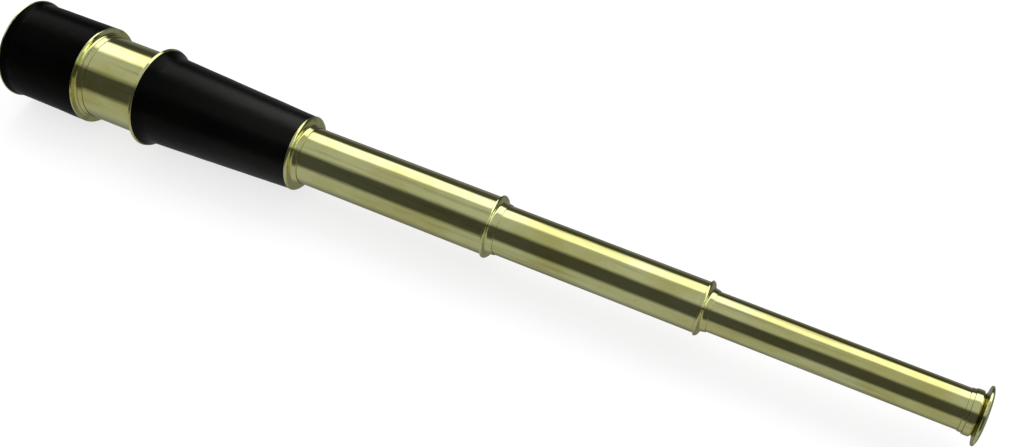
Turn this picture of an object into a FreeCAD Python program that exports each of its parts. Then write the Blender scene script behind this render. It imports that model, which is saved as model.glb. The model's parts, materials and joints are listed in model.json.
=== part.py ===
import FreeCAD, Part
import math
import os
import re
import Sketcher

# Three-draw brass hand telescope with a leather-covered barrel, drawn fully out.
# Frame: the origin is the centre of the sunshade mouth on the optical axis,
# +X runs along the optical axis towards the eye, +Z is up. Millimetres.
# Every piece is turned about the optical axis, so its outline is a half section
# of (distance behind the piece's own front, radius) corners.

V = FreeCAD.Vector

os.makedirs("parts", exist_ok=True)
doc = FreeCAD.newDocument("telescope")
sheet = doc.addObject("Spreadsheet::Sheet", "dims")

# ---------------------------------------------------------------- sizes

SIZES = {
    # sunshade: the leather-covered hood that slides on the main tube
    "shade_bore_r": 29.5,
    "shade_tube_r": 30.3,
    "shade_tube_front": 6.0,
    "shade_mouth_r": 29.9,
    "shade_tube_end": 56.6,
    "shade_lip_r": 32.5,
    "shade_lip_width": 0.9,
    "shade_lip_round": 0.3,
    "shade_rim_neck_r": 31.3,
    "shade_rim_tail_r": 30.5,
    "shade_rim_length": 8.5,
    "shade_rim_curve_r": 30.0,
    "shade_leather_lip_r": 32.1,
    "shade_leather_neck": 6.8,
    "shade_leather_front_r": 31.25,
    "shade_leather_rear_r": 31.7,
    "shade_leather_curve_r": 12.0,
    # rear ring of the sunshade: spigot in the tube, then face, cove, groove and collar
    "shade_ring_front": 48.7,
    "shade_ring_bore_r": 27.25,
    "shade_ring_rim_r": 31.8,
    "shade_ring_rim_width": 1.2,
    "shade_ring_face_end": 1.4,
    "shade_ring_face_r": 30.0,
    "shade_ring_cove_end": 2.7,
    "shade_ring_cove_r": 28.1,
    "shade_ring_cove_curve_r": 2.2,
    "shade_ring_groove_width": 0.4,
    "shade_ring_groove_depth": 0.35,
    "shade_ring_length": 6.2,
    "shade_ring_end_r": 27.6,
    # main tube and objective cell
    "main_tube_front": 48.5,
    "main_tube_end": 110.7,
    "main_tube_r": 27.2,
    "main_tube_bore_r": 26.2,
    "cell_front": 45.0,
    "cell_flange_r": 29.42,
    "cell_seat_station": 10.0,
    "cell_length": 11.5,
    "cell_lip_r": 23.5,
    "cell_bore_r": 24.55,
    "cell_mouth_r": 25.6,
    "cell_mouth_depth": 1.0,
    "objective_r": 24.5,
    "crown_front_sag": 1.63,
    "crown_rear_sag": 2.24,
    "crown_edge": 2.0,
    "flint_front_sag": 2.21,
    "flint_rear_sag": 0.43,
    "flint_edge": 4.78,
    "spacer_width": 0.4,
    "spacer_bore_r": 24.0,
    "cell_ring_width": 2.2,
    "cell_ring_bore_r": 23.6,
    "contact_gap": 0.02,
    "spanner_slot_width": 1.6,
    "spanner_slot_depth": 0.9,
    # barrel: trumpet flange, tapered tube, leather, end ring
    "flange_front": 102.2,
    "flange_lip_r": 32.4,
    "flange_lip_width": 1.8,
    "flange_lip_round": 0.5,
    "flange_lip_rear_r": 31.9,
    "flange_neck_r": 31.1,
    "flange_curve_r": 20.0,
    "flange_socket_depth": 8.5,
    "flange_throat_r": 25.2,
    "flange_seat": 10.8,
    "flange_seat_r": 27.3,
    "flange_spigot_r": 26.15,
    "flange_spigot_length": 6.0,
    "barrel_wall": 0.8,
    "barrel_end": 211.2,
    "barrel_end_r": 22.41,
    "leather_lip_r": 31.8,
    "leather_trumpet_end": 11.0,
    "leather_trumpet_curve_r": 14.0,
    "leather_waist_r": 28.6,
    "leather_end_r": 23.7,
    "barrel_ring_front": 201.0,
    "barrel_ring_spigot_r": 21.6,
    "barrel_ring_rim_r": 24.0,
    "barrel_ring_rim_width": 0.4,
    "barrel_ring_shoulder_curve_r": 4.0,
    "barrel_ring_shoulder_end": 2.0,
    "barrel_ring_shoulder_r": 21.0,
    "barrel_ring_cove_curve_r": 1.6,
    "barrel_ring_cove_end": 2.9,
    "barrel_ring_cove_r": 19.2,
    "barrel_ring_length": 5.4,
    "barrel_ring_end_r": 18.65,
    # what the three draws share
    "draw_wall": 0.8,
    "slide_gap": 0.05,
    "sleeve_wall": 0.8,
    "slit_width": 1.0,
    "stop_gap": 0.2,
    # draw 1
    "draw_1_r": 18.1,
    "draw_1_front": 183.0,
    "draw_1_end": 342.2,
    "sleeve_1_end": 209.0,
    "stop_1_r": 20.0,
    "stop_1_width": 4.0,
    "ring_1_spigot": 6.2,
    "ring_1_rim_r": 19.6,
    "ring_1_rim_width": 0.5,
    "ring_1_shoulder_curve_r": 2.6,
    "ring_1_shoulder_end": 2.0,
    "ring_1_shoulder_r": 17.3,
    "ring_1_cove_curve_r": 1.6,
    "ring_1_cove_end": 3.3,
    "ring_1_cove_r": 16.15,
    "ring_1_length": 6.4,
    "ring_1_end_r": 15.75,
    # draw 2
    "draw_2_r": 15.3,
    "draw_2_front": 312.0,
    "draw_2_end": 474.2,
    "sleeve_2_end": 341.0,
    "stop_2_r": 17.25,
    "stop_2_width": 3.5,
    "ring_2_spigot": 6.2,
    "ring_2_rim_r": 16.5,
    "ring_2_rim_width": 0.5,
    "ring_2_shoulder_curve_r": 2.4,
    "ring_2_shoulder_end": 2.2,
    "ring_2_shoulder_r": 14.5,
    "ring_2_cove_curve_r": 1.8,
    "ring_2_cove_end": 3.6,
    "ring_2_cove_r": 12.9,
    "ring_2_length": 6.1,
    "ring_2_end_r": 12.45,
    # draw 3
    "draw_3_wall": 0.7,
    "draw_3_r": 12.0,
    "draw_3_front": 452.0,
    "draw_3_end": 622.0,
    "sleeve_3_end": 473.0,
    "stop_3_r": 14.45,
    "stop_3_width": 3.0,
    # erector cell in the front of draw 3
    "erector_front": 456.0,
    "erector_length": 78.0,
    "erector_seat": 6.0,
    "erector_lens_r": 10.35,
    "erector_bore_r": 9.4,
    "erector_ring_width": 1.6,
    "erector_ring_bore_r": 9.2,
    "erector_edge": 1.6,
    "erector_sag": 1.35,
    "erector_stop_width": 0.8,
    "erector_stop_hole_r": 3.0,
    # eyepiece
    "eyepiece_front": 598.0,
    "eyepiece_spigot_r": 11.25,
    "eyepiece_bore_r": 9.4,
    "field_seat": 6.0,
    "field_lens_r": 10.2,
    "field_edge": 1.5,
    "field_sag": 1.9,
    "field_ring_width": 1.6,
    "field_ring_bore_r": 9.0,
    "field_stop_station": 12.0,
    "field_stop_width": 1.0,
    "field_stop_hole_r": 6.5,
    "eye_seat": 23.0,
    "eye_lens_r": 8.6,
    "eye_land_r": 7.8,
    "eye_edge": 1.4,
    "eye_sag": 1.5,
    "eye_ring_width": 1.4,
    "eye_ring_bore_r": 7.6,
    "eyepiece_line_depth": 0.12,
    "eyepiece_line_width": 0.3,
    "eyepiece_second_line": 2.4,
    "eyepiece_land_r": 12.35,
    "eyepiece_collar_r": 12.5,
    "eyepiece_band_r": 12.95,
    "eyepiece_shoulder_r": 13.1,
    "eyepiece_shoulder_station": 6.1,
    "eyepiece_shoulder_curve_r": 30.0,
    "eyepiece_neck_station": 7.25,
    "eyepiece_neck_r": 11.6,
    "eyepiece_neck_curve_r": 1.5,
    "eyepiece_end": 7.5,
    # eye cup screwed into the back of the eyepiece
    "cup_flare_curve_r": 7.0,
    "cup_flare_end": 1.4,
    "cup_flare_r": 15.9,
    "cup_rim_r": 17.0,
    "cup_rim_front": 1.9,
    "cup_rim_curve_r": 1.0,
    "cup_rim_width": 1.0,
    "cup_crest_r": 10.8,
    "cup_height": 4.4,
    "cup_dome_curve_r": 13.0,
    "cup_dish_depth": 1.6,
    "cup_eye_hole_r": 4.0,
    "cup_spigot_r": 8.6,
    "cup_spigot_length": 2.0,
}

for row, (alias, value) in enumerate(SIZES.items(), start=1):
    sheet.set("A%d" % row, alias)
    sheet.set("B%d" % row, str(value))
    sheet.setAlias("B%d" % row, alias)
doc.recompute()


def bound(text):
    """A formula over the sheet, written with bare size names."""
    return re.sub(r"\b([a-z]\w*)", r"dims.\1", text)


def value_of(text):
    """The present value of a formula over the sheet."""
    return float(sheet.evalExpression(bound(text)))


# ---------------------------------------------------------------- ways of making

def origin_feature(body, role):
    """One of the body's own origin planes or axes."""
    for feature in body.Origin.OriginFeatures:
        if feature.Role == role:
            return feature


def add_sketch(body, name, role):
    """A sketch lying on one of the body's origin planes."""
    sketch = body.newObject("Sketcher::SketchObject", name)
    sketch.AttachmentSupport = [(origin_feature(body, role), "")]
    sketch.MapMode = "FlatFace"
    return sketch


def constrain(sketch, kind, geometry, end, formula):
    """Hold one point at a sheet-driven distance from the sketch origin."""
    value = value_of(formula)
    index = sketch.addConstraint(Sketcher.Constraint(kind, -1, 1, geometry, end, value))
    sketch.setExpression("Constraints[%d]" % index, bound(formula))


def add_arc(sketch, start, finish, bulge):
    """Arc from start to finish; a positive bulge lies left of the way walked."""
    chord = finish - start
    left = V(-chord.y, chord.x, 0) / chord.Length
    reach = math.sqrt(bulge * bulge - chord.Length ** 2 / 4)
    side = -1 if bulge > 0 else 1
    centre = (start + finish) / 2 + left * reach * side
    first, last = (finish, start) if bulge > 0 else (start, finish)
    angles = [math.atan2(point.y - centre.y, point.x - centre.x) for point in (first, last)]
    circle = Part.Circle(centre, V(0, 0, 1), abs(bulge))
    geometry = sketch.addGeometry(Part.ArcOfCircle(circle, angles[0], angles[1]), False)
    ends = (2, 1) if bulge > 0 else (1, 2)
    return geometry, ends


def turned(label, front, outline):
    """A body turned about the optical axis from a half section.

    front    formula for the station of the piece's own zero
    outline  corners (distance, radius) walked round the section; a third entry
             bends the edge to the next corner: "+formula" bulges to the left of
             the way walked, "-formula" to the right.
    """
    body = doc.addObject("PartDesign::Body", label)
    body.Label = label
    sketch = add_sketch(body, label + "_section", "XZ_Plane")
    points = [V(value_of(corner[0]), value_of(corner[1]), 0) for corner in outline]
    edges = []
    for index, corner in enumerate(outline):
        start = points[index]
        finish = points[(index + 1) % len(points)]
        if len(corner) == 3:
            sign = 1 if corner[2][0] == "+" else -1
            bulge = sign * value_of(corner[2][1:])
            geometry, ends = add_arc(sketch, start, finish, bulge)
            turn = sketch.addConstraint(Sketcher.Constraint("Radius", geometry, abs(bulge)))
            sketch.setExpression("Constraints[%d]" % turn, bound(corner[2][1:]))
        else:
            geometry = sketch.addGeometry(Part.LineSegment(start, finish), False)
            ends = (1, 2)
        edges.append((geometry, ends))
    for index, corner in enumerate(outline):
        geometry, ends = edges[index]
        before, before_ends = edges[index - 1]
        joint = Sketcher.Constraint("Coincident", before, before_ends[1], geometry, ends[0])
        sketch.addConstraint(joint)
        if abs(points[index].x) < 1e-9:
            sketch.addConstraint(Sketcher.Constraint("PointOnObject", geometry, ends[0], -2))
        else:
            constrain(sketch, "DistanceX", geometry, ends[0], corner[0])
        if abs(points[index].y) < 1e-9:
            sketch.addConstraint(Sketcher.Constraint("PointOnObject", geometry, ends[0], -1))
        else:
            constrain(sketch, "DistanceY", geometry, ends[0], corner[1])
    turn = body.newObject("PartDesign::Revolution", label + "_turning")
    turn.Profile = sketch
    turn.ReferenceAxis = (sketch, ["H_Axis"])
    turn.Angle = 360
    body.setExpression("Placement.Base.x", bound(front))
    doc.recompute()
    return body


def cut_round(body, name, role, size, reverse, depth, count, across):
    """Cut a rectangular slot and repeat it evenly round the optical axis.

    size    (start, finish) along the first sketch direction, as formulas
    across  full width of the slot along the second sketch direction
    """
    before = body.Shape.Volume
    sketch = add_sketch(body, name + "_outline", role)
    left, right = value_of(size[0]), value_of(size[1])
    half = value_of(across) / 2
    corners = [V(left, -half, 0), V(right, -half, 0), V(right, half, 0), V(left, half, 0)]
    sides = []
    for index in range(4):
        segment = Part.LineSegment(corners[index], corners[(index + 1) % 4])
        sides.append(sketch.addGeometry(segment, False))
    for index in range(4):
        following = sides[(index + 1) % 4]
        sketch.addConstraint(Sketcher.Constraint("Coincident", sides[index], 2, following, 1))
    for index, kind in ((0, "Horizontal"), (2, "Horizontal"), (3, "Vertical")):
        sketch.addConstraint(Sketcher.Constraint(kind, sides[index]))
    sketch.addConstraint(Sketcher.Constraint("Symmetric", sides[1], 1, sides[1], 2, -1))
    width = sketch.addConstraint(Sketcher.Constraint("DistanceY", sides[1], 1, sides[1], 2, 2 * half))
    sketch.setExpression("Constraints[%d]" % width, bound(across))
    if left == 0:
        sketch.addConstraint(Sketcher.Constraint("PointOnObject", sides[0], 1, -2))
    else:
        constrain(sketch, "DistanceX", sides[0], 1, size[0])
    constrain(sketch, "DistanceX", sides[0], 2, size[1])
    pocket = body.newObject("PartDesign::Pocket", name)
    pocket.Profile = sketch
    pocket.Type = 0
    pocket.Length = value_of(depth)
    pocket.setExpression("Length", bound(depth))
    pocket.Reversed = reverse
    doc.recompute()
    pattern = body.newObject("PartDesign::PolarPattern", name + "_pattern")
    pattern.Originals = [pocket]
    pattern.Axis = (origin_feature(body, "X_Axis"), [""])
    pattern.Angle = 360
    pattern.Occurrences = count
    body.Tip = pattern
    doc.recompute()
    if body.Shape.Volume >= before - 1e-6:
        raise RuntimeError(name + " removed no material")


def plain_ring(label, front, width, outer, bore):
    """A ring of square section."""
    return turned(label, front, [("0", bore), ("0", outer), (width, outer), (width, bore)])


def crown_rise(lens_r, bore_r, sag):
    """How far a curved lens face stands past its edge where a ring's bore meets it."""
    return "(%s * (1 - %s^2 / %s^2) + contact_gap)" % (sag, bore_r, lens_r)


# ---------------------------------------------------------------- sunshade

plain_ring("sunshade_tube", "shade_tube_front", "shade_tube_end - shade_tube_front",
           "shade_tube_r", "shade_bore_r")

# Brass rim soldered on the mouth: a short counterbore takes a push-in cap, and the
# tapered tail lies under the leather.
turned("sunshade_front_rim", "0", [
    ("0", "shade_mouth_r"),
    ("0", "shade_lip_r - shade_lip_round", "+shade_lip_round"),
    ("shade_lip_round", "shade_lip_r"),
    ("shade_lip_width - shade_lip_round", "shade_lip_r", "+shade_lip_round"),
    ("shade_lip_width", "shade_lip_r - shade_lip_round"),
    ("shade_lip_width", "shade_rim_neck_r", "-shade_rim_curve_r"),
    ("shade_rim_length", "shade_rim_tail_r"),
    ("shade_rim_length", "shade_tube_r"),
    ("shade_tube_front", "shade_tube_r"),
    ("shade_tube_front", "shade_mouth_r"),
])

turned("sunshade_leather", "shade_lip_width", [
    ("0", "shade_rim_neck_r"),
    ("0", "shade_leather_lip_r", "-shade_leather_curve_r"),
    ("shade_leather_neck", "shade_leather_front_r"),
    ("shade_tube_end - shade_lip_width", "shade_leather_rear_r"),
    ("shade_tube_end - shade_lip_width", "shade_tube_r"),
    ("shade_rim_length - shade_lip_width", "shade_tube_r"),
    ("shade_rim_length - shade_lip_width", "shade_rim_tail_r", "+shade_rim_curve_r"),
])

spigot = "shade_tube_end - shade_ring_front"
groove = spigot + " + shade_ring_cove_end"
turned("sunshade_rear_ring", "shade_ring_front", [
    ("0", "shade_ring_bore_r"),
    ("0", "shade_bore_r"),
    (spigot, "shade_bore_r"),
    (spigot, "shade_ring_rim_r"),
    (spigot + " + shade_ring_rim_width", "shade_ring_rim_r"),
    (spigot + " + shade_ring_face_end", "shade_ring_face_r", "-shade_ring_cove_curve_r"),
    (groove, "shade_ring_cove_r"),
    (groove, "shade_ring_cove_r - shade_ring_groove_depth"),
    (groove + " + shade_ring_groove_width", "shade_ring_cove_r - shade_ring_groove_depth"),
    (groove + " + shade_ring_groove_width", "shade_ring_cove_r"),
    (spigot + " + shade_ring_length", "shade_ring_end_r"),
    (spigot + " + shade_ring_length", "shade_ring_bore_r"),
])

# ---------------------------------------------------------------- objective end

plain_ring("main_tube", "main_tube_front", "main_tube_end - main_tube_front",
           "main_tube_r", "main_tube_bore_r")

# The cell flange both closes the tube and runs in the sunshade as its front guide.
turned("objective_cell", "cell_front", [
    ("0", "cell_mouth_r"),
    ("0", "cell_flange_r"),
    ("main_tube_front - cell_front", "cell_flange_r"),
    ("main_tube_front - cell_front", "main_tube_bore_r"),
    ("cell_length", "main_tube_bore_r"),
    ("cell_length", "cell_lip_r"),
    ("cell_seat_station", "cell_lip_r"),
    ("cell_seat_station", "cell_bore_r"),
    ("cell_mouth_depth", "cell_bore_r"),
])

crown_front_curve = "(objective_r^2 + crown_front_sag^2) / (2 * crown_front_sag)"
crown_rear_curve = "(objective_r^2 + crown_rear_sag^2) / (2 * crown_rear_sag)"
flint_front_curve = "(objective_r^2 + flint_front_sag^2) / (2 * flint_front_sag)"
flint_rear_curve = "(objective_r^2 + flint_rear_sag^2) / (2 * flint_rear_sag)"
flint_rise = crown_rise("objective_r", "cell_lip_r", "flint_rear_sag")
crown_rear_rise = crown_rise("objective_r", "spacer_bore_r", "crown_rear_sag")
crown_front_rise = crown_rise("objective_r", "cell_ring_bore_r", "crown_front_sag")
flint_edge_station = "cell_front + cell_seat_station - flint_edge - " + flint_rise
spacer_station = flint_edge_station + " - spacer_width"
crown_edge_station = spacer_station + " - crown_edge - " + crown_rear_rise

turned("objective_crown_lens", crown_edge_station + " - crown_front_sag", [
    ("0", "0", "+" + crown_front_curve),
    ("crown_front_sag", "objective_r"),
    ("crown_front_sag + crown_edge", "objective_r", "+" + crown_rear_curve),
    ("crown_front_sag + crown_edge + crown_rear_sag", "0"),
])

plain_ring("objective_spacer_ring", spacer_station, "spacer_width",
           "objective_r", "spacer_bore_r")

turned("objective_flint_lens", flint_edge_station, [
    ("flint_front_sag", "0", "-" + flint_front_curve),
    ("0", "objective_r"),
    ("flint_edge", "objective_r", "+" + flint_rear_curve),
    ("flint_edge + flint_rear_sag", "0"),
])

cell_ring_station = crown_edge_station + " - cell_ring_width - " + crown_front_rise
cell_ring = plain_ring("objective_retaining_ring", cell_ring_station,
                       "cell_ring_width", "cell_bore_r", "cell_ring_bore_r")
cut_round(cell_ring, "cell_ring_slots", "YZ_Plane",
          ("cell_ring_bore_r - 1", "cell_bore_r + 1"), True,
          "spanner_slot_depth", 2, "spanner_slot_width")

# ---------------------------------------------------------------- barrel

# Trumpet flange: socket for the main tube in front, spigot for the barrel behind.
turned("barrel_front_flange", "flange_front", [
    ("0", "main_tube_r"),
    ("0", "flange_lip_r - flange_lip_round", "+flange_lip_round"),
    ("flange_lip_round", "flange_lip_r"),
    ("flange_lip_width", "flange_lip_rear_r"),
    ("flange_lip_width", "flange_neck_r", "-flange_curve_r"),
    ("flange_seat", "flange_seat_r"),
    ("flange_seat", "flange_spigot_r"),
    ("flange_seat + flange_spigot_length", "flange_spigot_r"),
    ("flange_seat + flange_spigot_length", "flange_throat_r"),
    ("flange_socket_depth", "flange_throat_r"),
    ("flange_socket_depth", "main_tube_r"),
])

barrel_front = "flange_front + flange_seat"
turned("barrel_tube", barrel_front, [
    ("0", "flange_seat_r - barrel_wall"),
    ("0", "flange_seat_r"),
    ("barrel_end - flange_front - flange_seat", "barrel_end_r"),
    ("barrel_end - flange_front - flange_seat", "barrel_end_r - barrel_wall"),
])

turned("barrel_leather", "flange_front + flange_lip_width", [
    ("0", "flange_neck_r"),
    ("0", "leather_lip_r", "-leather_trumpet_curve_r"),
    ("leather_trumpet_end - flange_lip_width", "leather_waist_r"),
    ("barrel_end - flange_front - flange_lip_width", "leather_end_r"),
    ("barrel_end - flange_front - flange_lip_width", "barrel_end_r"),
    ("flange_seat - flange_lip_width", "flange_seat_r", "+flange_curve_r"),
])

spigot = "barrel_end - barrel_ring_front"
sleeve_socket = "sleeve_1_end - barrel_ring_front"
sleeve_1_outer = "draw_1_r + slide_gap + sleeve_wall"
turned("barrel_end_ring", "barrel_ring_front", [
    ("0", sleeve_1_outer),
    ("0", "barrel_ring_spigot_r"),
    (spigot, "barrel_ring_spigot_r"),
    (spigot, "barrel_ring_rim_r"),
    (spigot + " + barrel_ring_rim_width", "barrel_ring_rim_r",
     "+barrel_ring_shoulder_curve_r"),
    (spigot + " + barrel_ring_shoulder_end", "barrel_ring_shoulder_r",
     "-barrel_ring_cove_curve_r"),
    (spigot + " + barrel_ring_cove_end", "barrel_ring_cove_r"),
    (spigot + " + barrel_ring_length", "barrel_ring_end_r"),
    (spigot + " + barrel_ring_length", "draw_1_r + slide_gap"),
    (sleeve_socket, "draw_1_r + slide_gap"),
    (sleeve_socket, sleeve_1_outer),
])

# ---------------------------------------------------------------- draws 1 and 2

def friction_sleeve(label, number, solid_length):
    """Springy collar that grips draw `number`, slit into four fingers in front."""
    draw = "draw_%d_" % number
    front = "%sfront + stop_%d_width + stop_gap" % (draw, number)
    length = "sleeve_%d_end - (%s)" % (number, front)
    bore = draw + "r + slide_gap"
    sleeve = plain_ring(label, front, length, bore + " + sleeve_wall", bore)
    cut_round(sleeve, label + "_slits", "XY_Plane",
              ("0", length + " - " + solid_length), True,
              bore + " + 2 * sleeve_wall", 4, "slit_width")


def stop_ring(label, number):
    """Collar soldered round the front of a draw; it meets the sleeve when drawn out."""
    plain_ring(label, "draw_%d_front" % number, "stop_%d_width" % number,
               "stop_%d_r" % number, "draw_%d_r" % number)


def draw_tube(label, number, wall):
    """Plain thin tube of one draw."""
    length = "draw_%d_end - draw_%d_front" % (number, number)
    radius = "draw_%d_r" % number
    plain_ring(label, "draw_%d_front" % number, length, radius, radius + " - " + wall)


def end_ring(label, number):
    """Ring plugged into the back of a draw, bored for the next smaller draw."""
    ring = "ring_%d_" % number
    following = "draw_%d_r + slide_gap" % (number + 1)
    spigot = ring + "spigot"
    inner = "draw_%d_r - draw_wall" % number
    socket = "sleeve_%d_end - draw_%d_end + %s" % (number + 1, number, spigot)
    turned(label, "draw_%d_end - %s" % (number, spigot), [
        ("0", following + " + sleeve_wall"),
        ("0", inner),
        (spigot, inner),
        (spigot, ring + "rim_r"),
        (spigot + " + " + ring + "rim_width", ring + "rim_r", "+" + ring + "shoulder_curve_r"),
        (spigot + " + " + ring + "shoulder_end", ring + "shoulder_r",
         "-" + ring + "cove_curve_r"),
        (spigot + " + " + ring + "cove_end", ring + "cove_r"),
        (spigot + " + " + ring + "length", ring + "end_r"),
        (spigot + " + " + ring + "length", following),
        (socket, following),
        (socket, following + " + sleeve_wall"),
    ])


friction_sleeve("barrel_friction_sleeve", 1, "5.5")

for number in (1, 2):
    draw_tube("draw_%d_tube" % number, number, "draw_wall")
    stop_ring("draw_%d_stop_ring" % number, number)
    end_ring("draw_%d_end_ring" % number, number)
    friction_sleeve("draw_%d_friction_sleeve" % number, number + 1, "5.5")

# ---------------------------------------------------------------- draw 3 and erector

draw_tube("draw_3_tube", 3, "draw_3_wall")
stop_ring("draw_3_stop_ring", 3)

erector_r = "draw_3_r - draw_3_wall"
seat_r = "erector_lens_r + 0.05"
turned("erector_tube", "erector_front", [
    ("0", seat_r),
    ("0", erector_r),
    ("erector_length", erector_r),
    ("erector_length", seat_r),
    ("erector_length - erector_seat", seat_r),
    ("erector_length - erector_seat", "erector_bore_r"),
    ("erector_seat", "erector_bore_r"),
    ("erector_seat", seat_r),
])

erector_curve = "(erector_lens_r^2 + erector_sag^2) / (2 * erector_sag)"
rear_seat = "erector_front + erector_length - erector_seat"

# Plano-convex pair with their curved faces turned towards each other's far ends.
turned("erector_front_lens", "erector_front + erector_seat - erector_edge - erector_sag", [
    ("0", "0", "+" + erector_curve),
    ("erector_sag", "erector_lens_r"),
    ("erector_sag + erector_edge", "erector_lens_r"),
    ("erector_sag + erector_edge", "0"),
])
turned("erector_rear_lens", rear_seat, [
    ("0", "0"),
    ("0", "erector_lens_r"),
    ("erector_edge", "erector_lens_r", "+" + erector_curve),
    ("erector_edge + erector_sag", "0"),
])
erector_rise = crown_rise("erector_lens_r", "erector_ring_bore_r", "erector_sag")
front_ring = plain_ring(
    "erector_front_ring",
    "erector_front + erector_seat - erector_edge - erector_ring_width - " + erector_rise,
    "erector_ring_width", seat_r, "erector_ring_bore_r")
rear_ring = plain_ring(
    "erector_rear_ring", rear_seat + " + erector_edge + " + erector_rise,
    "erector_ring_width", seat_r, "erector_ring_bore_r")
plain_ring("erector_stop", "erector_front + (erector_length - erector_stop_width) / 2",
           "erector_stop_width", "erector_bore_r", "erector_stop_hole_r")

# ---------------------------------------------------------------- eyepiece

joint = "draw_3_end - eyepiece_front"
step = "eyepiece_line_width"
second = joint + " + eyepiece_second_line"
eye_bore = "eye_lens_r + 0.05"
field_bore = "field_lens_r + 0.05"

# One turned piece: long spigot in the draw, two scribed lines, swelling and neck.
turned("eyepiece_body", "eyepiece_front", [
    ("0", field_bore),
    ("0", "eyepiece_spigot_r"),
    (joint, "eyepiece_spigot_r"),
    (joint, "draw_3_r - eyepiece_line_depth"),
    (joint + " + " + step, "draw_3_r - eyepiece_line_depth"),
    (joint + " + " + step, "eyepiece_land_r"),
    (second, "eyepiece_collar_r"),
    (second, "eyepiece_collar_r - 2 * eyepiece_line_depth"),
    (second + " + " + step, "eyepiece_collar_r - 2 * eyepiece_line_depth"),
    (second + " + " + step, "eyepiece_band_r", "+eyepiece_shoulder_curve_r"),
    (joint + " + eyepiece_shoulder_station", "eyepiece_shoulder_r", "+eyepiece_neck_curve_r"),
    (joint + " + eyepiece_neck_station", "eyepiece_neck_r"),
    (joint + " + eyepiece_end", "eyepiece_neck_r"),
    (joint + " + eyepiece_end", eye_bore),
    ("eye_seat", eye_bore),
    ("eye_seat", "eye_land_r"),
    ("eye_seat - 2", "eye_land_r"),
    ("eye_seat - 2", "eyepiece_bore_r"),
    ("field_seat", "eyepiece_bore_r"),
    ("field_seat", field_bore),
])

field_curve = "(field_lens_r^2 + field_sag^2) / (2 * field_sag)"
turned("field_lens", "eyepiece_front + field_seat - field_edge - field_sag", [
    ("0", "0", "+" + field_curve),
    ("field_sag", "field_lens_r"),
    ("field_sag + field_edge", "field_lens_r"),
    ("field_sag + field_edge", "0"),
])
field_rise = crown_rise("field_lens_r", "field_ring_bore_r", "field_sag")
field_ring = plain_ring(
    "field_lens_ring",
    "eyepiece_front + field_seat - field_edge - field_ring_width - " + field_rise,
    "field_ring_width", field_bore, "field_ring_bore_r")
plain_ring("field_stop", "eyepiece_front + field_stop_station", "field_stop_width",
           "eyepiece_bore_r", "field_stop_hole_r")
turned("eye_lens", "eyepiece_front + eye_seat - eye_sag", [
    ("0", "0", "+(eye_land_r^2 + eye_sag^2) / (2 * eye_sag)"),
    ("eye_sag", "eye_land_r"),
    ("eye_sag", "eye_lens_r"),
    ("eye_sag + eye_edge", "eye_lens_r"),
    ("eye_sag + eye_edge", "0"),
])
plain_ring("eye_lens_ring", "eyepiece_front + eye_seat + eye_edge",
           "eye_ring_width", eye_bore, "eye_ring_bore_r")

for ring, bore, outer in [
        (front_ring, "erector_ring_bore_r", seat_r),
        (field_ring, "field_ring_bore_r", field_bore)]:
    cut_round(ring, ring.Label + "_slots", "YZ_Plane",
              (bore + " - 1", outer + " + 1"), True,
              "spanner_slot_depth", 2, "spanner_slot_width")

cup_front = "draw_3_end + eyepiece_end"
turned("eye_cup", cup_front + " - cup_spigot_length", [
    ("0", "cup_eye_hole_r"),
    ("0", "cup_spigot_r"),
    ("cup_spigot_length", "cup_spigot_r"),
    ("cup_spigot_length", "eyepiece_neck_r", "-cup_flare_curve_r"),
    ("cup_spigot_length + cup_flare_end", "cup_flare_r", "+cup_rim_curve_r"),
    ("cup_spigot_length + cup_rim_front", "cup_rim_r"),
    ("cup_spigot_length + cup_rim_front + cup_rim_width", "cup_rim_r", "+cup_dome_curve_r"),
    ("cup_spigot_length + cup_height", "cup_crest_r"),
    ("cup_spigot_length + cup_height - cup_dish_depth", "cup_eye_hole_r"),
])

# ---------------------------------------------------------------- check and write

doc.recompute()
for thing in doc.Objects:
    if "Invalid" in thing.State or "Error" in thing.State:
        raise RuntimeError("%s is in state %s" % (thing.Name, thing.State))

pieces = [thing for thing in doc.Objects if thing.TypeId == "PartDesign::Body"]
for piece in pieces:
    shape = piece.Shape
    if shape.isNull() or not shape.isValid() or len(shape.Solids) != 1:
        raise RuntimeError(piece.Label + " is not one sound solid")
    shape.exportStep("parts/%s.step" % piece.Label)
    box = shape.optimalBoundingBox()
    print("%-26s x %7.2f..%7.2f  r %6.2f  volume %9.1f"
          % (piece.Label, box.XMin, box.XMax, box.ZMax, shape.Volume))
print(len(pieces), "pieces written")
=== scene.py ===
import json
import math

import bpy
import numpy as np
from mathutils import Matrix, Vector, noise

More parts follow.
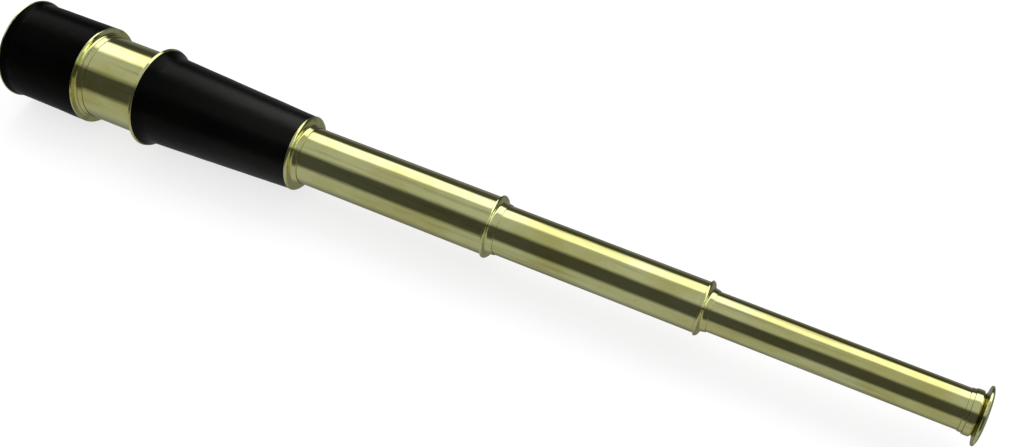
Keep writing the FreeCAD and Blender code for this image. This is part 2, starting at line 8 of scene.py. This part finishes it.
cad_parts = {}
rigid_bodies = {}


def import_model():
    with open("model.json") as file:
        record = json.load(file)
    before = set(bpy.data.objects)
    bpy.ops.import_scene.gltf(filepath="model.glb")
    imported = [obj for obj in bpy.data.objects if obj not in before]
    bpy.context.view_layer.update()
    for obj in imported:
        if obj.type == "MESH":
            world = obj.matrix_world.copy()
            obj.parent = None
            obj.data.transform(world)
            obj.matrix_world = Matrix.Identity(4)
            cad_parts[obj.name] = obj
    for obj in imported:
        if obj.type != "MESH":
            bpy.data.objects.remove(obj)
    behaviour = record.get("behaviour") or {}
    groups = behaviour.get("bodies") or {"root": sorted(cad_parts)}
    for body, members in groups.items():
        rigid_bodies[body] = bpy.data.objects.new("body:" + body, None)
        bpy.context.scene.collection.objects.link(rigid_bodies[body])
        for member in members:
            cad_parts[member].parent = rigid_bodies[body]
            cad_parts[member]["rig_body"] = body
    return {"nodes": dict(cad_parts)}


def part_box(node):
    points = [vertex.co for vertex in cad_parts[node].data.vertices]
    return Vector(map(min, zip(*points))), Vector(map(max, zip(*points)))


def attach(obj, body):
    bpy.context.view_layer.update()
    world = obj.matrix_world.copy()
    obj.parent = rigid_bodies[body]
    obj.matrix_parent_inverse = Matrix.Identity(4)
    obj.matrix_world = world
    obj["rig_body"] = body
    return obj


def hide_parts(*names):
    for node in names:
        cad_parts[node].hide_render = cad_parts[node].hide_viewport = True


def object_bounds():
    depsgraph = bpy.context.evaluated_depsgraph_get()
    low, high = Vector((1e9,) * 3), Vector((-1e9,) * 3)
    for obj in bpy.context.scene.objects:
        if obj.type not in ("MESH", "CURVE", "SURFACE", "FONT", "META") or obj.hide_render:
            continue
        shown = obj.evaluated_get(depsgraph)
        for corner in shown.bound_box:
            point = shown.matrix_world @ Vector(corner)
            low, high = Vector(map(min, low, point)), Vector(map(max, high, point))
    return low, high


# Looks of the three-draw brass telescope. The CAD frame gives every place and size:
# outlines are read from its meshes, turned again finely with eased edges, and the two
# leather covers are built over their CAD sleeves. Outlines are in millimetres.

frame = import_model()
cad_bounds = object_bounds()
MM = 0.001

# ---------------------------------------------------------------- outlines and turning

TURN_SEGMENTS = 256
TUBE_EASE = 0.16        # mm taken off each side of a sharp corner: drawn tubes,
RING_EASE = 0.26        # turned rings,
LINE_EASE = 0.10        # the scribed lines of the eyepiece,
CUP_EASE = 0.30         # and the eye cup
SHARP_TURN = math.radians(24)
SAME_POINT = 0.01       # mm; outline points closer than this are one
EASE_SHARE = 0.45       # most of a side that one corner may take
EASE_STEPS = 4          # short edges that round a corner
FACES_AXIS = -0.7       # radial part of the normal below which a side is lined


def outline_of(node):
    """The node's half section as (distance, radius) points, walked anticlockwise."""
    mesh = frame["nodes"][node].data
    keys = [(round(v.co.x / MM, 3), round(math.hypot(v.co.y, v.co.z) / MM, 3))
            for v in mesh.vertices]
    near = {}
    for edge in mesh.edges:
        first, second = (keys[index] for index in edge.vertices)
        if first != second:
            near.setdefault(first, set()).add(second)
            near.setdefault(second, set()).add(first)
    walk = [min(near)]
    while True:
        ahead = [key for key in near[walk[-1]] if key not in walk]
        if not ahead:
            break
        walk.append(min(ahead, key=lambda key: math.dist(key, walk[-1])))
    points = [point for index, point in enumerate(walk)
              if math.dist(point, walk[index - 1]) > SAME_POINT]
    area = sum(a[0] * b[1] - b[0] * a[1] for a, b in zip(points, points[1:] + points[:1]))
    return points if area > 0 else points[::-1]


def eased(outline, reach):
    """The outline with each sharp corner rounded over at most `reach` of its sides."""
    result = []
    for index, corner in enumerate(outline):
        point = Vector(corner)
        back = Vector(outline[index - 1]) - point
        ahead = Vector(outline[(index + 1) % len(outline)]) - point
        if math.pi - back.angle(ahead) < SHARP_TURN:
            result.append(tuple(point))
            continue
        start = point + back.normalized() * min(reach, back.length * EASE_SHARE)
        finish = point + ahead.normalized() * min(reach, ahead.length * EASE_SHARE)
        for step in range(EASE_STEPS + 1):
            w = step / EASE_STEPS
            bend = start * (1 - w) ** 2 + point * 2 * w * (1 - w) + finish * w * w
            result.append(tuple(bend))
    return result


def section_normals(points):
    """Unit normals out of a closed anticlockwise section, long sides weighing most."""
    sides = np.roll(points, -1, 0) - points
    outward = np.stack([sides[:, 1], -sides[:, 0]], 1)
    total = outward + np.roll(outward, 1, 0)
    return total / np.linalg.norm(total, axis=1)[:, None]


def ring_faces(rows, columns):
    """Quads that join neighbouring rows of a closed tube of `rows` rings."""
    faces = []
    for row in range(rows):
        here, following = row * columns, (row + 1) % rows * columns
        for column in range(columns):
            beside = (column + 1) % columns
            faces.append((here + column, following + column, following + beside, here + beside))
    return faces


def make_object(name, vertices, faces, materials):
    """A smooth-shaded mesh object linked to the scene."""
    mesh = bpy.data.meshes.new(name)
    mesh.from_pydata(vertices, [], faces)
    mesh.polygons.foreach_set("use_smooth", [True] * len(faces))
    for material in materials:
        mesh.materials.append(material)
    piece = bpy.data.objects.new(name, mesh)
    bpy.context.scene.collection.objects.link(piece)
    return piece


def turn_again(node, finish, lining, ease):
    """Replace a turned CAD node by a finer one; faces towards the axis get the lining."""
    points = np.array(eased(outline_of(node), ease))
    normals = section_normals(points)
    angles = np.arange(TURN_SEGMENTS) * 2 * math.pi / TURN_SEGMENTS
    spokes = np.stack([np.cos(angles), np.sin(angles)], 1)
    vertices = [(x * MM, r * MM * c, r * MM * s) for x, r in points for c, s in spokes]
    piece = make_object(node + "_turned", vertices, ring_faces(len(points), TURN_SEGMENTS),
                        [finish, lining])
    sides = np.roll(points, -1, 0) - points
    inward = -sides[:, 0] < FACES_AXIS * np.linalg.norm(sides, axis=1)
    slots = np.repeat(inward.astype(np.int32), TURN_SEGMENTS)
    piece.data.polygons.foreach_set("material_index", slots)
    vertex_normals = [(n[0], n[1] * c, n[1] * s) for n in normals for c, s in spokes]
    piece.data.normals_split_custom_set_from_vertices(vertex_normals)
    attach(piece, frame["nodes"][node]["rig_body"])
    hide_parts(node)


# ---------------------------------------------------------------- shader helpers

MIX_COLOUR_A = 6        # a Mix node has sockets for every data type; these are
MIX_COLOUR_B = 7        # the numbers of its colour sockets
MIX_COLOUR_OUT = 2


def new_material(name):
    """A material with an empty node tree, its output and a Principled shader."""
    material = bpy.data.materials.new(name)
    material.use_nodes = True
    tree = material.node_tree
    tree.nodes.clear()
    output = tree.nodes.new("ShaderNodeOutputMaterial")
    shader = tree.nodes.new("ShaderNodeBsdfPrincipled")
    tree.links.new(shader.outputs[0], output.inputs["Surface"])
    return material, tree, shader


def plug(tree, node, key, value):
    """Link a socket to an input, or set the input to a plain value."""
    if isinstance(value, bpy.types.NodeSocket):
        tree.links.new(value, node.inputs[key])
    else:
        node.inputs[key].default_value = value


def add_node(tree, kind, **inputs):
    """A shader node with its inputs set or linked; names use _ for a space."""
    made = tree.nodes.new("ShaderNode" + kind)
    for name, value in inputs.items():
        plug(tree, made, name.replace("_", " "), value)
    return made


def stretched_place(tree, scale):
    """Object coordinates scaled per axis, in units of 1 / metre."""
    place = tree.nodes.new("ShaderNodeTexCoord").outputs["Object"]
    mapping = add_node(tree, "Mapping", Vector=place, Scale=scale)
    return mapping.outputs["Vector"]


def noise_value(tree, scale, detail, rough):
    """Noise over the object, one number per axis saying how many features per metre."""
    made = add_node(tree, "TexNoise", Vector=stretched_place(tree, scale), Scale=1.0,
                    Detail=detail, Roughness=rough)
    return made.outputs["Fac"]


def ranged(tree, value, low, high, to_low, to_high):
    """Map a value smoothly from one range to another."""
    made = add_node(tree, "MapRange", Value=value)
    made.interpolation_type = "SMOOTHSTEP"
    limits = {"From Min": low, "From Max": high, "To Min": to_low, "To Max": to_high}
    for name, number in limits.items():
        plug(tree, made, name, number)
    return made.outputs["Result"]


def math_of(tree, operation, first, second):
    """One arithmetic step."""
    made = tree.nodes.new("ShaderNodeMath")
    made.operation = operation
    plug(tree, made, 0, first)
    plug(tree, made, 1, second)
    return made.outputs[0]


def mixed(tree, share, first, second):
    """Blend two colours."""
    made = tree.nodes.new("ShaderNodeMix")
    made.data_type = "RGBA"
    plug(tree, made, 0, share)
    plug(tree, made, MIX_COLOUR_A, first)
    plug(tree, made, MIX_COLOUR_B, second)
    return made.outputs[MIX_COLOUR_OUT]


def bumped(tree, height, strength, distance, below=None):
    """Normal from a height, laid over another normal if one is given."""
    made = add_node(tree, "Bump", Height=height, Strength=strength, Distance=distance)
    if below is not None:
        tree.links.new(below, made.inputs["Normal"])
    return made.outputs["Normal"]


# ---------------------------------------------------------------- materials

BRASS_BRIGHT = (0.82, 0.84, 0.41, 1)
BRASS_DEEP = (0.69, 0.67, 0.235, 1)
# tarnish colour for the specks and wipe marks, also used for the painted shade in corners
BRASS_TARNISH_AND_SHADE = (0.22, 0.17, 0.05, 1)


def brass(name, streaks, turning, shade_reach=1.6):
    """Polished lacquered brass: painted shade in the corners, tarnish specks, wipe marks, fine
    scratches.

    streaks  depth of the lengthwise sliding scratches
    turning  depth of the fine rings left by the lathe
    shade_reach  reach of the painted shade out of a corner, in millimetres
    """
    material, tree, shader = new_material(name)
    cloud = noise_value(tree, (22, 42, 42), 5.0, 0.62)
    speck = noise_value(tree, (420, 420, 420), 3.0, 0.7)
    slide = noise_value(tree, (14, 1500, 1500), 2.0, 0.6)
    lathe_marks = noise_value(tree, (5200, 12, 12), 2.0, 0.6)
    smear = noise_value(tree, (9, 190, 190), 4.0, 0.55)
    # painted shade: ambient occlusion darkens corners and joints towards the tarnish colour
    shade_occlusion = add_node(tree, "AmbientOcclusion", Distance=shade_reach * MM)
    shade_occlusion.samples = 8
    corner = ranged(tree, shade_occlusion.outputs["AO"], 0.30, 0.85, 0.85, 0.0)
    colour = mixed(tree, ranged(tree, cloud, 0.35, 0.68, 0.0, 1.0), BRASS_BRIGHT, BRASS_DEEP)
    freckle = ranged(tree, speck, 0.66, 0.78, 0.0, 0.35)
    wiped = ranged(tree, smear, 0.51, 0.70, 0.0, 0.38)
    stain_and_shade = math_of(tree, "MAXIMUM", math_of(tree, "MAXIMUM", corner, freckle), wiped)
    colour = mixed(tree, stain_and_shade, colour, BRASS_TARNISH_AND_SHADE)
    rough = ranged(tree, cloud, 0.3, 0.7, 0.045, 0.085)
    rough = math_of(tree, "ADD", rough, ranged(tree, slide, 0.5, 0.75, 0.0, 0.06))
    rough = math_of(tree, "ADD", rough, math_of(tree, "MULTIPLY", corner, 0.25))
    rough = math_of(tree, "ADD", rough, ranged(tree, smear, 0.5, 0.75, 0.0, 0.07))
    ripple = noise_value(tree, (11, 70, 70), 3.0, 0.5)
    normal = bumped(tree, ripple, 0.24, 0.85 * MM)
    normal = bumped(tree, slide, streaks, 0.02 * MM, normal)
    normal = bumped(tree, lathe_marks, turning, 0.02 * MM, normal)
    plug(tree, shader, "Metallic", 1.0)
    plug(tree, shader, "Base Color", colour)
    plug(tree, shader, "Roughness", rough)
    plug(tree, shader, "Normal", normal)
    plug(tree, shader, "Coat Weight", 0.12)
    plug(tree, shader, "Coat Roughness", 0.06)
    return material


def black_paint():
    """Matt black inside the tubes, with a dry brushed grain."""
    material, tree, shader = new_material("matt_black_paint")
    grain = noise_value(tree, (900, 900, 900), 4.0, 0.7)
    wear = noise_value(tree, (60, 140, 140), 4.0, 0.6)
    colour = mixed(tree, ranged(tree, wear, 0.55, 0.8, 0.0, 1.0),
                   (0.006, 0.006, 0.006, 1), (0.02, 0.018, 0.014, 1))
    plug(tree, shader, "Base Color", colour)
    plug(tree, shader, "Roughness", ranged(tree, grain, 0.3, 0.7, 0.55, 0.85))
    plug(tree, shader, "Normal", bumped(tree, grain, 0.35, 0.04 * MM))
    plug(tree, shader, "Specular IOR Level", 0.3)
    return material


HIDE_FRONT = 110 * MM   # the stretch over which handling raised the hide's shine
HIDE_REAR = 205 * MM


def leather(name, shine_front, shine_rear):
    """Smooth black hide: fine pebbled grain, soft creases, a wax sheen that handling raised.

    The two shines are the mirror strength at HIDE_FRONT and HIDE_REAR along the axis.
    """
    material, tree, shader = new_material(name)
    place = stretched_place(tree, (1250, 1450, 1450))
    drift = add_node(tree, "TexNoise", Vector=stretched_place(tree, (500, 500, 500)), Scale=1.0)
    warped = tree.nodes.new("ShaderNodeVectorMath")
    warped.operation = "ADD"
    tree.links.new(place, warped.inputs[0])
    tree.links.new(drift.outputs["Color"], warped.inputs[1])
    cells = add_node(tree, "TexVoronoi", Vector=warped.outputs[0], Scale=1.0, Randomness=0.9)
    cells.feature = "DISTANCE_TO_EDGE"
    pebble = ranged(tree, cells.outputs["Distance"], 0.0, 0.22, 0.0, 1.0)
    crease = noise_value(tree, (130, 300, 300), 5.0, 0.62)
    patch = noise_value(tree, (24, 40, 40), 4.0, 0.6)
    pores = noise_value(tree, (3200, 3200, 3200), 2.0, 0.5)
    normal = bumped(tree, crease, 0.17, 0.22 * MM)
    normal = bumped(tree, pebble, 0.24, 0.07 * MM, normal)
    normal = bumped(tree, pores, 0.14, 0.03 * MM, normal)
    ridge = tree.nodes.new("ShaderNodeNewGeometry").outputs["Pointiness"]
    worn = ranged(tree, ridge, 0.56, 0.66, 0.0, 0.8)
    colour = mixed(tree, ranged(tree, patch, 0.35, 0.7, 0.0, 1.0),
                   (0.0004, 0.0005, 0.0004, 1), (0.0013, 0.0013, 0.0010, 1))
    colour = mixed(tree, worn, colour, (0.014, 0.014, 0.010, 1))
    along = tree.nodes.new("ShaderNodeTexCoord").outputs["Object"]
    along = add_node(tree, "SeparateXYZ", Vector=along).outputs["X"]
    shine = ranged(tree, along, HIDE_FRONT, HIDE_REAR, shine_front, shine_rear)
    rough = ranged(tree, patch, 0.3, 0.7, 0.15, 0.22)
    rough = math_of(tree, "ADD", rough, ranged(tree, pebble, 0.0, 1.0, 0.06, 0.0))
    plug(tree, shader, "Base Color", colour)
    plug(tree, shader, "Roughness", rough)
    plug(tree, shader, "Specular IOR Level", shine)
    plug(tree, shader, "Specular Tint", (0.94, 1.0, 0.88, 1))
    plug(tree, shader, "Normal", normal)
    return material


def thread():
    """Waxed black linen thread with its twist."""
    material, tree, shader = new_material("waxed_thread")
    twist = noise_value(tree, (2600, 900, 900), 2.0, 0.5)
    colour = mixed(tree, twist, (0.006, 0.006, 0.005, 1), (0.03, 0.028, 0.022, 1))
    plug(tree, shader, "Base Color", colour)
    plug(tree, shader, "Roughness", ranged(tree, twist, 0.3, 0.7, 0.35, 0.6))
    plug(tree, shader, "Normal", bumped(tree, twist, 0.6, 0.08 * MM))
    return material


def glass(name, tint):
    """Polished optical glass with a few dust specks."""
    material, tree, shader = new_material(name)
    dust = noise_value(tree, (900, 900, 900), 3.0, 0.7)
    plug(tree, shader, "Base Color", tint)
    plug(tree, shader, "Transmission Weight", 1.0)
    plug(tree, shader, "IOR", 1.52)
    plug(tree, shader, "Roughness", ranged(tree, dust, 0.72, 0.80, 0.0, 0.25))
    return material


def coat(nodes, material):
    """Give CAD nodes that keep their own shape a finished material."""
    for node in nodes:
        frame["nodes"][node].data.materials.clear()
        frame["nodes"][node].data.materials.append(material)


SLIDING_BRASS = brass("drawn_brass", 0.30, 0.05)
RING_BRASS = brass("turned_brass", 0.05, 0.35)
# for the sunshade's rear ring: painted shade reaching further out of its corners
SHADED_RING_BRASS = brass("turned_brass_with_painted_shade", 0.05, 0.35, 3.2)
BLACK = black_paint()
HIDES = {"sunshade_leather": leather("dull_black_leather", 0.03, 0.03),
         "barrel_leather": leather("black_leather", 0.075, 0.19)}
THREAD = thread()
LENS_GLASS = glass("lens_glass", (0.94, 0.98, 0.97, 1))
COATED_GLASS = glass("coated_lens_glass", (0.90, 0.94, 1.0, 1))

# ---------------------------------------------------------------- brass and glass

for nodes, finish, ease in (
        (("main_tube", "draw_1_tube", "draw_2_tube", "draw_3_tube", "sunshade_tube"),
         SLIDING_BRASS, TUBE_EASE),
        (("sunshade_front_rim", "barrel_front_flange", "barrel_end_ring",
          "draw_1_end_ring", "draw_2_end_ring"), RING_BRASS, RING_EASE),
        (("sunshade_rear_ring",), SHADED_RING_BRASS, RING_EASE),
        (("eyepiece_body",), RING_BRASS, LINE_EASE),
        (("eye_cup",), RING_BRASS, CUP_EASE)):
    for node in nodes:
        turn_again(node, finish, BLACK, ease)

coat(("barrel_tube", "barrel_friction_sleeve", "draw_1_friction_sleeve",
      "draw_2_friction_sleeve", "draw_1_stop_ring", "draw_2_stop_ring",
      "draw_3_stop_ring"), RING_BRASS)
coat(("objective_cell", "objective_retaining_ring", "objective_spacer_ring", "erector_tube",
      "erector_front_ring", "erector_stop", "erector_rear_ring", "field_lens_ring",
      "field_stop", "eye_lens_ring"), BLACK)
coat(("objective_crown_lens", "objective_flint_lens"), COATED_GLASS)
coat(("erector_front_lens", "erector_rear_lens", "field_lens", "eye_lens"), LENS_GLASS)

# ---------------------------------------------------------------- leather

COVER_COLUMNS = 320
COVER_STEP = 0.8        # mm between rings of the cover
COVER_EASE = 0.6        # mm taken off each side of its edges
SEAM_ANGLE = -math.pi / 2   # the seam runs along the underside
SEAM_CROWDING = 0.55    # how much closer the columns stand beside the seam
SWELL_PITCH = 17        # mm between the soft swells of the hide
SWELL_HEIGHT = 0.10
DIMPLE_HEIGHT = 0.05
FOLD_REACH = 3.2        # mm along the cover that its neck gathers the hide
FOLD_HEIGHT = 0.16
GROOVE_WIDTH = 0.45     # of the seam, and its depth, in mm
GROOVE_DEPTH = 0.45
WELT_PLACE = 1.2        # mm from the seam to the middle of the raised edge beside it
WELT_WIDTH = 0.7
WELT_HEIGHT = 0.16


def cover_angles():
    """Angles round the cover, closer together beside the seam."""
    share = np.arange(COVER_COLUMNS) * 2 / COVER_COLUMNS - 1
    return SEAM_ANGLE + math.pi * ((1 - SEAM_CROWDING) * share + SEAM_CROWDING * share ** 3)


def resampled(outline, step):
    """The closed outline with its long sides cut into pieces of about `step`."""
    result = []
    for start, finish in zip(outline, outline[1:] + outline[:1]):
        pieces = max(1, round(math.dist(start, finish) / step))
        for part in range(pieces):
            w = part / pieces
            result.append((start[0] + (finish[0] - start[0]) * w,
                           start[1] + (finish[1] - start[1]) * w))
    return result


def swell(x, angle, radius, neck):
    """Height in mm of the hide over its smooth form at one place."""
    place = Vector((x / SWELL_PITCH, radius * math.cos(angle) / SWELL_PITCH,
                    radius * math.sin(angle) / SWELL_PITCH))
    rise = SWELL_HEIGHT * noise.noise(place) + DIMPLE_HEIGHT * noise.noise(place * 3.1)
    gather = math.exp(-((x - neck) / FOLD_REACH) ** 2)
    folds = noise.noise(Vector((x / 40, angle * 9.0, neck)))
    rise += FOLD_HEIGHT * gather * folds
    off_seam = abs((angle - SEAM_ANGLE + math.pi) % (2 * math.pi) - math.pi) * radius
    rise -= GROOVE_DEPTH * math.exp(-(off_seam / GROOVE_WIDTH) ** 2)
    rise += WELT_HEIGHT * math.exp(-((off_seam - WELT_PLACE) / WELT_WIDTH) ** 2)
    return rise


def leather_cover(node, body, neck):
    """The hide over one CAD sleeve, with rolled edges, soft swells and its seam."""
    points = np.array(resampled(eased(outline_of(node), COVER_EASE), COVER_STEP))
    normals = section_normals(points)
    angles = cover_angles()
    vertices = []
    for (x, radius), (across, outward) in zip(points, normals):
        proud = max(0.0, outward)
        for angle in angles:
            lift = proud * swell(x, angle, radius, neck)
            r = radius + outward * lift
            vertices.append(((x + across * lift) * MM, r * MM * math.cos(angle),
                             r * MM * math.sin(angle)))
    piece = make_object(node + "_hide", vertices, ring_faces(len(points), COVER_COLUMNS),
                        [HIDES[node]])
    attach(piece, body)
    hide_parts(node)


def outer_radius(outline, x):
    """Radius of the outline's outer side at one distance."""
    best = 0.0
    for start, finish in zip(outline, outline[1:] + outline[:1]):
        low, high = sorted((start[0], finish[0]))
        if low <= x <= high and high > low:
            w = (x - start[0]) / (finish[0] - start[0])
            best = max(best, start[1] + (finish[1] - start[1]) * w)
    return best


STITCH_PITCH = 2.6      # mm from one stitch to the next
STITCH_REACH = 1.5      # mm from the seam to each needle hole
STITCH_LEAN = 0.9       # mm that a stitch runs along the seam
STITCH_INSET = 1.5      # mm from the cover's ends to the row
STITCH_STEPS = 9        # rings along a stitch
STITCH_SIDES = 8        # sides round the thread
THREAD_RADIUS = 0.26


def seam_stitches(node, body, start, finish):
    """A row of slanting stitches drawn across the seam."""
    outline = outline_of(node)
    vertices, faces = [], []
    steps, sides = STITCH_STEPS, STITCH_SIDES
    count = int((finish - start) / STITCH_PITCH)
    for stitch in range(count):
        middle = start + (stitch + 0.5) * STITCH_PITCH
        base = len(vertices)
        for step in range(steps):
            w = step / (steps - 1) * 2 - 1
            x = middle + w * STITCH_LEAN / 2
            height = THREAD_RADIUS * (1.1 - 2.6 * w ** 6)
            radius = outer_radius(outline, x) + height
            angle = SEAM_ANGLE + w * STITCH_REACH / radius
            thick = THREAD_RADIUS * (1 - 0.35 * w ** 4)
            for side in range(sides):
                turn = side * 2 * math.pi / sides
                r = radius + thick * math.cos(turn)
                vertices.append(((x + thick * math.sin(turn)) * MM, r * MM * math.cos(angle),
                                 r * MM * math.sin(angle)))
        for step in range(steps - 1):
            for side in range(sides):
                here, there = base + step * sides, base + (step + 1) * sides
                beside = (side + 1) % sides
                faces.append((here + side, here + beside, there + beside, there + side))
        faces.append(tuple(base + side for side in reversed(range(sides))))
        faces.append(tuple(base + (steps - 1) * sides + side for side in range(sides)))
    piece = make_object(node + "_stitches", vertices, faces, [THREAD])
    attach(piece, body)


for node, body, neck_offset in (("sunshade_leather", "sunshade", 7.0),
                                ("barrel_leather", "barrel", 9.0)):
    low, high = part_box(node)
    leather_cover(node, body, low.x / MM + neck_offset)
    seam_stitches(node, body, low.x / MM + STITCH_INSET, high.x / MM - STITCH_INSET)

# ---------------------------------------------------------------- stage

CAMERA_AZIMUTH = math.radians(26.6)
CAMERA_ELEVATION = math.radians(50.4)
CAMERA_DISTANCE = 0.789
CAMERA_LENS = 47.76
AIM_SHARE = 0.549       # how far along the telescope the camera looks
AIM_ASIDE = 4.05 * MM   # the aim lies this far above the axis in the picture
SLOPE = math.radians(21.1)  # how steeply the axis falls in the picture
FLOOR_REACH = 6.0       # metres from the middle to each edge
LAMP_PLACE = Vector((0.25, 0.75, 1.3))
LAMP_TARGET = Vector((0.3, 0, 0))


def add_camera():
    """The camera above the eye end, at the telescope's side."""
    low, high = cad_bounds
    back = Vector((math.sin(CAMERA_AZIMUTH) * math.cos(CAMERA_ELEVATION),
                   -math.cos(CAMERA_AZIMUTH) * math.cos(CAMERA_ELEVATION),
                   math.sin(CAMERA_ELEVATION)))
    right = Vector((0, 0, 1)).cross(back).normalized()
    above = back.cross(right)
    aim = Vector((low[0] + (high[0] - low[0]) * AIM_SHARE, 0, 0))
    aim += (right * math.sin(SLOPE) + above * math.cos(SLOPE)) * AIM_ASIDE
    data = bpy.data.cameras.new("camera")
    data.lens = CAMERA_LENS
    data.sensor_width = 36
    data.clip_end = 50
    camera = bpy.data.objects.new("camera", data)
    camera.location = aim + back * CAMERA_DISTANCE
    camera.rotation_euler = back.to_track_quat("Z", "Y").to_euler()
    bpy.context.scene.collection.objects.link(camera)
    bpy.context.scene.camera = camera


def add_floor():
    """A plain pale floor under the telescope, left out of the mirrors."""
    material, tree, shader = new_material("pale_floor")
    mottle = noise_value(tree, (3, 3, 3), 3.0, 0.5)
    pale = mixed(tree, mottle, (0.29, 0.29, 0.29, 1), (0.31, 0.31, 0.31, 1))
    plug(tree, shader, "Base Color", pale)
    plug(tree, shader, "Roughness", 0.9)
    plug(tree, shader, "Specular IOR Level", 0.1)
    plug(tree, shader, "Emission Color", (1, 1, 1, 1))
    plug(tree, shader, "Emission Strength", 0.70)
    reach = FLOOR_REACH
    height = cad_bounds[0][2]
    corners = [(-reach, -reach, height), (reach, -reach, height),
               (reach, reach, height), (-reach, reach, height)]
    floor = make_object("floor", corners, [(0, 1, 2, 3)], [material])
    floor.visible_glossy = False


# A plain soft studio, the same along the whole telescope: round its axis, in degrees from
# the zenith towards the front, with the brightness that mirrors see there.
STUDIO = (
    (-180, 0.20),   # pale table under the back
    (-110, 0.20),
    (-90, 0.06),    # dark wall behind
    (-70, 0.06),
    (-60, 1.60),    # wide softbox above and behind
    (-30, 1.60),
    (-20, 0.45),    # pale ceiling
    (25, 0.45),
    (40, 0.06),     # dim room on the camera's side
    (85, 0.06),
    (100, 0.40),    # pale table in front
    (150, 0.40),
    (180, 0.20),
)


def add_studio():
    """Soft zones for mirrors, an even pale glow for everything else."""
    world = bpy.data.worlds.new("studio")
    bpy.context.scene.world = world
    world.use_nodes = True
    tree = world.node_tree
    tree.nodes.clear()
    way = tree.nodes.new("ShaderNodeTexCoord").outputs["Generated"]
    parts = add_node(tree, "SeparateXYZ", Vector=way).outputs
    front = math_of(tree, "MULTIPLY", parts["Y"], -1.0)
    angle = math_of(tree, "ARCTAN2", front, parts["Z"])
    turns = math_of(tree, "DIVIDE", angle, 2 * math.pi)
    ramp = tree.nodes.new("ShaderNodeValToRGB")
    tree.links.new(math_of(tree, "ADD", turns, 0.5), ramp.inputs[0])
    stops = ramp.color_ramp.elements
    while len(stops) < len(STUDIO):
        stops.new(0.5)
    for stop, (degrees, level) in zip(stops, STUDIO):
        stop.position = degrees / 360 + 0.5
        stop.color = (level, level, level, 1)
    ray = tree.nodes.new("ShaderNodeLightPath").outputs["Is Glossy Ray"]
    glow = mixed(tree, ray, (0.98, 0.98, 1.0, 1), ramp.outputs["Color"])
    background = add_node(tree, "Background", Color=glow, Strength=1.0)
    output = tree.nodes.new("ShaderNodeOutputWorld")
    tree.links.new(background.outputs[0], output.inputs["Surface"])


def add_key_light():
    """One wide soft lamp over the far side, kept out of the mirrors."""
    data = bpy.data.lights.new("key", "AREA")
    data.shape = "RECTANGLE"
    data.size = 1.6
    data.size_y = 0.9
    data.energy = 9.0
    lamp = bpy.data.objects.new("key", data)
    lamp.location = LAMP_PLACE
    back = LAMP_PLACE - LAMP_TARGET
    lamp.rotation_euler = back.to_track_quat("Z", "Y").to_euler()
    lamp.visible_glossy = False
    bpy.context.scene.collection.objects.link(lamp)


add_camera()
add_floor()
add_studio()
add_key_light()
bpy.context.scene.view_settings.view_transform = "Standard"
